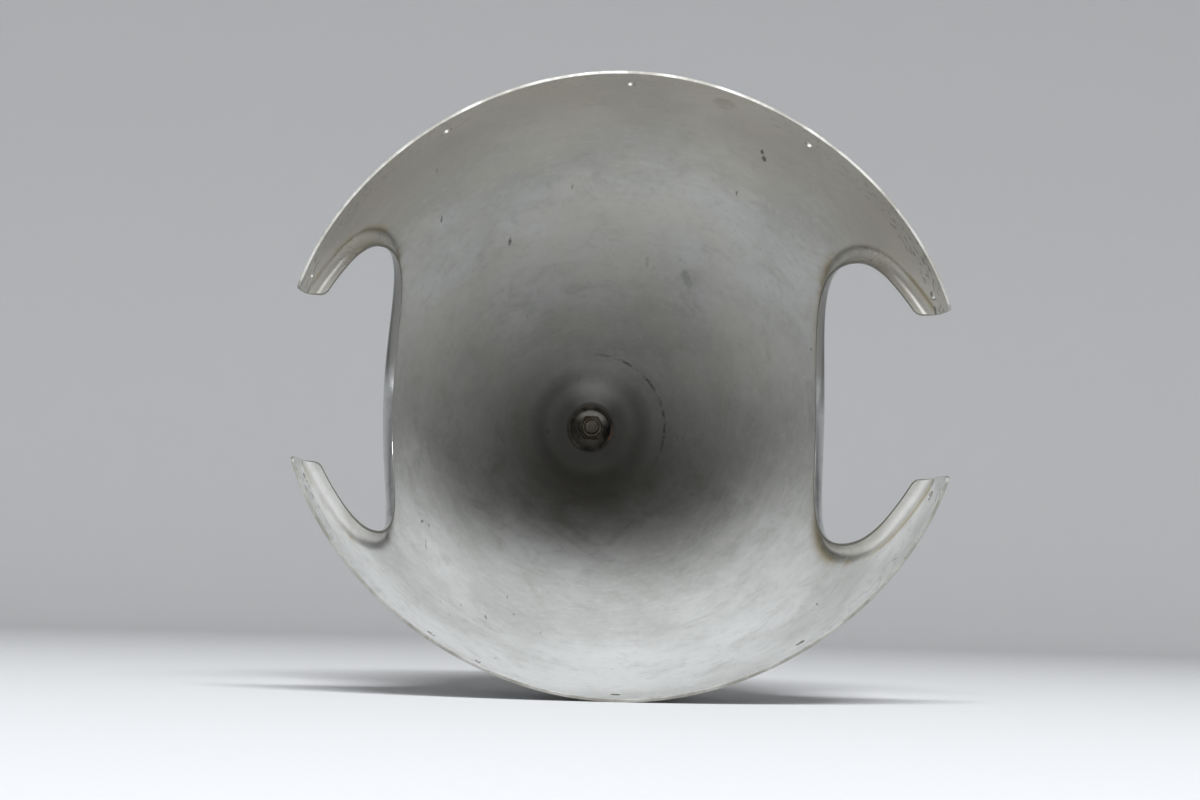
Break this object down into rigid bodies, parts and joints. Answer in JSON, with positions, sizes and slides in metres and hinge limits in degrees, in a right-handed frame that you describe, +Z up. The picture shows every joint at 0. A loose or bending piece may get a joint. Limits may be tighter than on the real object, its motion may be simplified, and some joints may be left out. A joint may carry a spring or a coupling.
{
  "type": "propeller spinner",
  "caption": "Spun aluminium propeller spinner dome, open at the rear, with opposed rolled-edge blade openings, rim screw holes and a bolted nose.",
  "frame": {"origin": "centre of the open rear rim, on the thrust axis", "axes": "+Y forward along the thrust axis to the nose, +X through the right blade opening seen from behind, +Z up, square to both"},
  "size_m": [0.332, 0.3012, 0.3196],
  "materials": {
    "shell_metal": "satin inside, polished outside",
    "washer_metal": "dull plated steel",
    "nut_metal": "dull plated steel",
    "bolt_metal": "dull plated steel"
  },
  "bodies": {
    "root": {"spinner_shell": "shell_metal", "nose_washer": "washer_metal", "nose_nut": "nut_metal", "nose_bolt": "bolt_metal"}
  },
  "joints": []
}
